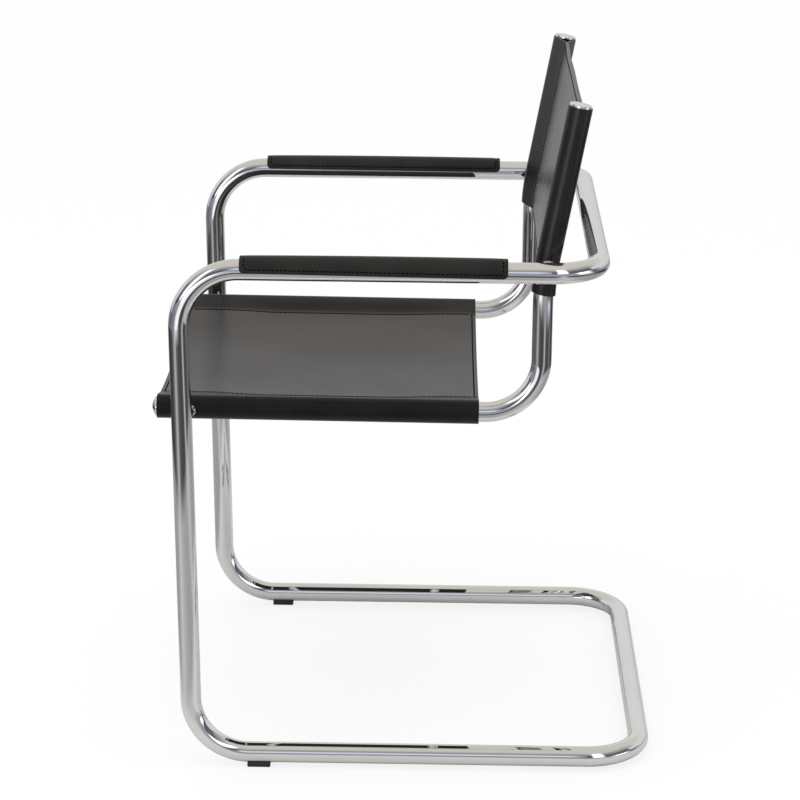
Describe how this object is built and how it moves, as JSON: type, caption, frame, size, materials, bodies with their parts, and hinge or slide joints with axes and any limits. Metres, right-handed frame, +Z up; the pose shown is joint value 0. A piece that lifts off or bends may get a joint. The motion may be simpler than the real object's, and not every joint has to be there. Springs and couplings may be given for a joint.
{
  "type": "cantilever armchair",
  "caption": "Cantilever armchair with a bent chrome tube frame, a slung black leather seat and back, and leather-covered arms.",
  "frame": {"origin": "On the floor, in the middle of the chair's width and depth.", "axes": "+Z is up, the chair faces -Y, and +X is the sitter's left."},
  "size_m": [0.573, 0.608, 0.8191],
  "materials": {
    "chrome_frame": "mirror polished chrome plate",
    "chrome_trim": "polished chrome plate",
    "plain_steel": "zinc-plated steel",
    "seat_leather": "smooth black saddle leather",
    "pad_leather": "smooth black saddle leather",
    "black_plastic": "moulded nylon"
  },
  "bodies": {
    "root": {"frame_tube_left": "chrome_frame", "seat_tube_left": "chrome_frame", "seat_tube_cap_left": "chrome_trim", "back_tube_cap_left": "chrome_trim", "leg_spacer_left": "chrome_trim", "arm_spacer_left": "chrome_trim", "arm_pad_left": "pad_leather", "arm_pad_plate_left": "black_plastic", "front_glide_left": "black_plastic", "rear_glide_left": "black_plastic", "frame_tube_right": "chrome_frame", "seat_tube_right": "chrome_frame", "seat_tube_cap_right": "chrome_trim", "back_tube_cap_right": "chrome_trim", "leg_spacer_right": "chrome_trim", "arm_spacer_right": "chrome_trim", "arm_pad_right": "pad_leather", "arm_pad_plate_right": "black_plastic", "front_glide_right": "black_plastic", "rear_glide_right": "black_plastic", "floor_joint_sleeve": "plain_steel", "arm_joint_sleeve": "plain_steel", "frame_bolts": "plain_steel", "threaded_inserts": "plain_steel", "arm_pad_screws": "plain_steel", "seat_spreader_front": "chrome_trim", "seat_spreader_rear": "chrome_trim", "seat_sling": "seat_leather", "back_sling": "seat_leather"}
  },
  "joints": []
}
